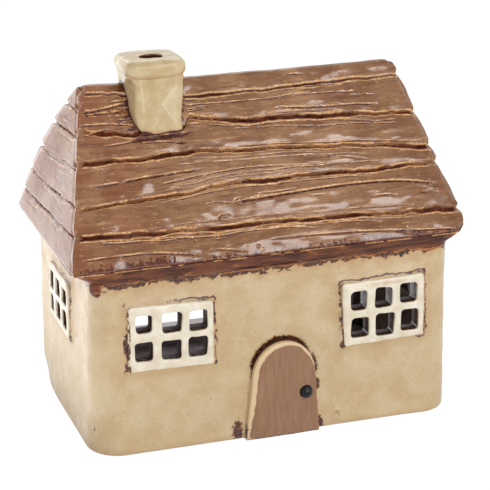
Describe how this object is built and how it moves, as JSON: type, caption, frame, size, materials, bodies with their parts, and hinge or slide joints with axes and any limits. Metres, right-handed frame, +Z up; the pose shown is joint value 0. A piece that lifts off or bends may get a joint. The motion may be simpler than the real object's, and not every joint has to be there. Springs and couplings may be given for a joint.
{
  "type": "tea light house",
  "caption": "Pottery cottage tea light holder with a boarded hip roof, pierced windows, an arched door, a chimney flue and an open back",
  "frame": {"origin": "centre of the underside, on the surface that the house stands on", "axes": "+Z up, +X along the ridge to the right of someone facing the door, -Y out of the front door"},
  "size_m": [0.15, 0.0921, 0.1375],
  "materials": {
    "wall_glaze": "satin, mottled tan",
    "window_glaze": "satin, cream with brown edges",
    "roof_glaze": "gloss, brown breaking to orange on edges",
    "eave_glaze": "gloss, dark brown",
    "chimney_glaze": "gloss, cream yellow",
    "door_glaze": "satin, pinkish brown",
    "knob_glaze": "gloss, near black",
    "bare_clay": "matt, bare clay"
  },
  "bodies": {
    "root": {"base_slab": "bare_clay", "front_wall": "wall_glaze", "back_wall": "wall_glaze", "left_wall": "wall_glaze", "right_wall": "wall_glaze", "front_left_window": "window_glaze", "front_right_window": "window_glaze", "left_side_window": "window_glaze", "right_side_window": "window_glaze", "door_panel": "door_glaze", "door_knob": "knob_glaze", "eave_plate": "eave_glaze", "roof_front_slab": "roof_glaze", "roof_back_slab": "roof_glaze", "roof_left_slab": "roof_glaze", "roof_right_slab": "roof_glaze", "front_board_1": "roof_glaze", "front_board_2": "roof_glaze", "front_board_3": "roof_glaze", "front_board_4": "roof_glaze", "front_board_5_left": "roof_glaze", "front_board_5_right": "roof_glaze", "back_board_1": "roof_glaze", "back_board_2": "roof_glaze", "back_board_3": "roof_glaze", "back_board_4": "roof_glaze", "back_board_5": "roof_glaze", "left_board_1": "roof_glaze", "left_board_2": "roof_glaze", "left_board_3": "roof_glaze", "left_board_4": "roof_glaze", "left_board_5": "roof_glaze", "left_board_6": "roof_glaze", "right_board_1": "roof_glaze", "right_board_2": "roof_glaze", "right_board_3": "roof_glaze", "right_board_4": "roof_glaze", "right_board_5": "roof_glaze", "right_board_6": "roof_glaze", "ridge_cap_left": "roof_glaze", "ridge_cap_right": "roof_glaze", "chimney_stack": "chimney_glaze", "chimney_cap": "chimney_glaze"}
  },
  "joints": []
}
